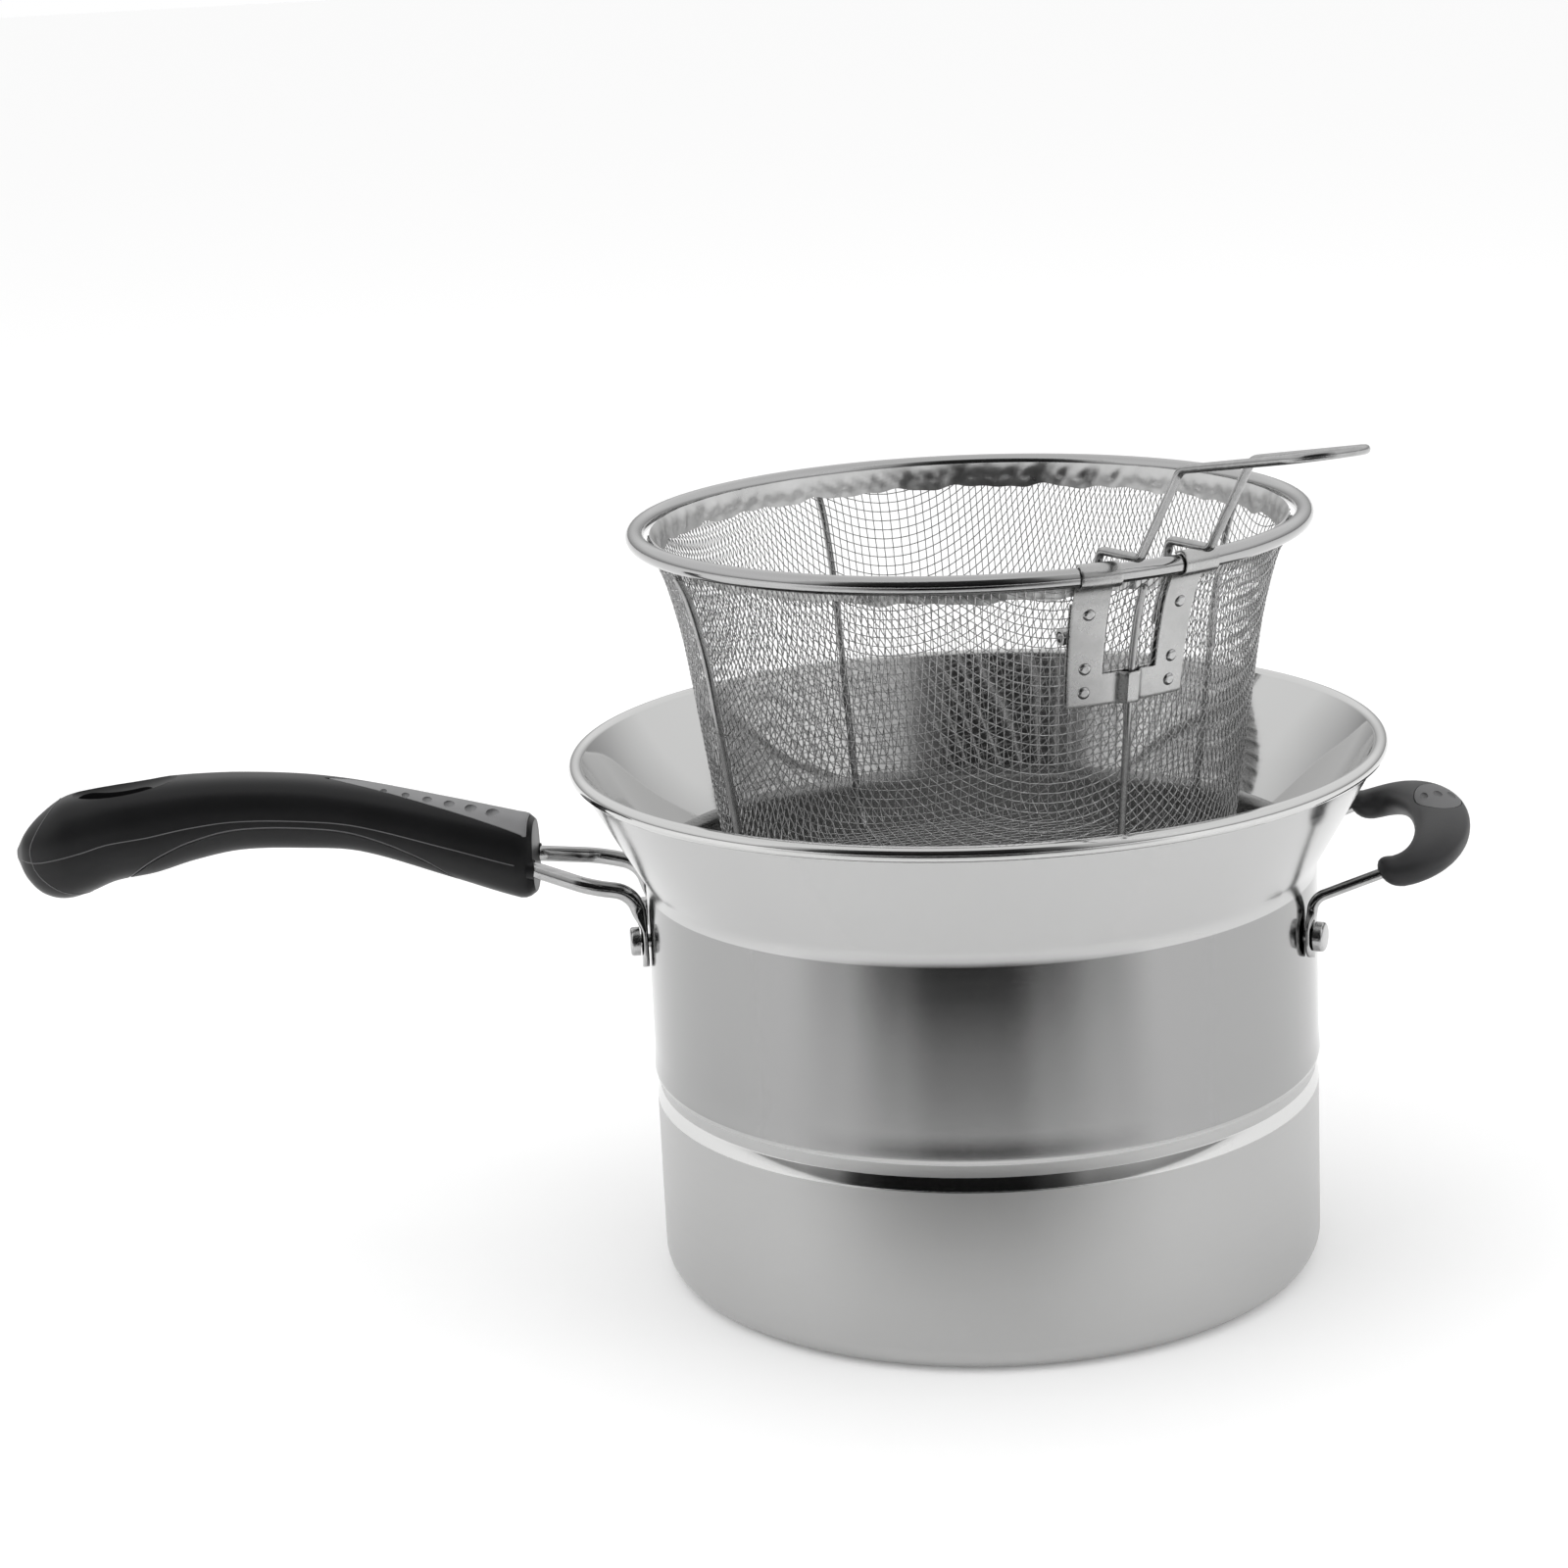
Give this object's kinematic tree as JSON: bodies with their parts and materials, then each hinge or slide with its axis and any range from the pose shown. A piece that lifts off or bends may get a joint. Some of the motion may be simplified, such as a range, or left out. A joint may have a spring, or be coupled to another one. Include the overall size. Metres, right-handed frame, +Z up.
{
  "type": "multipurpose pot with basket",
  "caption": "Flared stainless pot with a long grip, a helper handle and a lift-out wire-cloth basket whose wire handle folds inwards.",
  "frame": {"origin": "centre of the pot's flat underside, on the pot's axis", "axes": "+Z up the pot's axis, the long handle along -X, the helper handle along +X"},
  "size_m": [0.3919, 0.2565, 0.2421],
  "materials": {
    "pot_steel": "satin brushed body, polished flare and groove",
    "rod_steel": "bright drawn rod",
    "rivet_steel": "bright headed rivet",
    "basket_rim_steel": "polished",
    "cloth_steel": "bright woven wire",
    "rib_steel": "drawn wire",
    "bracket_steel": "satin stamped sheet",
    "handle_wire_steel": "polished bent wire",
    "grip_plastic": "satin black moulding",
    "pad_plastic": "soft black moulding",
    "inlay_plastic": "grey moulding"
  },
  "bodies": {
    "pot": {"pot_body": "pot_steel", "long_handle_rod_front": "rod_steel", "long_handle_rod_rear": "rod_steel", "long_handle_rivet_front": "rivet_steel", "long_handle_rivet_rear": "rivet_steel", "long_handle_grip": "grip_plastic", "long_grip_inlay": "inlay_plastic", "long_grip_finger_pad": "pad_plastic", "helper_handle_wire_front": "rod_steel", "helper_handle_wire_rear": "rod_steel", "helper_handle_rivet_front": "rivet_steel", "helper_handle_rivet_rear": "rivet_steel", "helper_handle_grip": "grip_plastic", "helper_grip_inlay": "inlay_plastic"},
    "basket": {"basket_rim": "basket_rim_steel", "basket_wire_cloth": "cloth_steel", "basket_rim_collar": "basket_rim_steel", "basket_rib_long": "rib_steel", "basket_rib_cross": "rib_steel", "handle_bracket": "bracket_steel", "handle_backing_plate": "bracket_steel", "bracket_rivet_1": "rivet_steel", "bracket_rivet_2": "rivet_steel", "bracket_rivet_3": "rivet_steel", "bracket_rivet_4": "rivet_steel", "bracket_rivet_5": "rivet_steel", "bracket_rivet_6": "rivet_steel"},
    "basket_handle": {"basket_handle": "handle_wire_steel"}
  },
  "joints": [
    {"name": "basket_lift", "type": "slide", "parent": "pot", "child": "basket", "axis": [0, 0, 1], "range_m": [-0.07, 0.05]},
    {"name": "basket_handle_fold", "type": "hinge", "parent": "basket", "child": "basket_handle", "pos_m": [0.0366, -0.06416, 0.1863], "axis": [-0.8686, -0.4955, 0], "range_deg": [0, 160]}
  ]
}
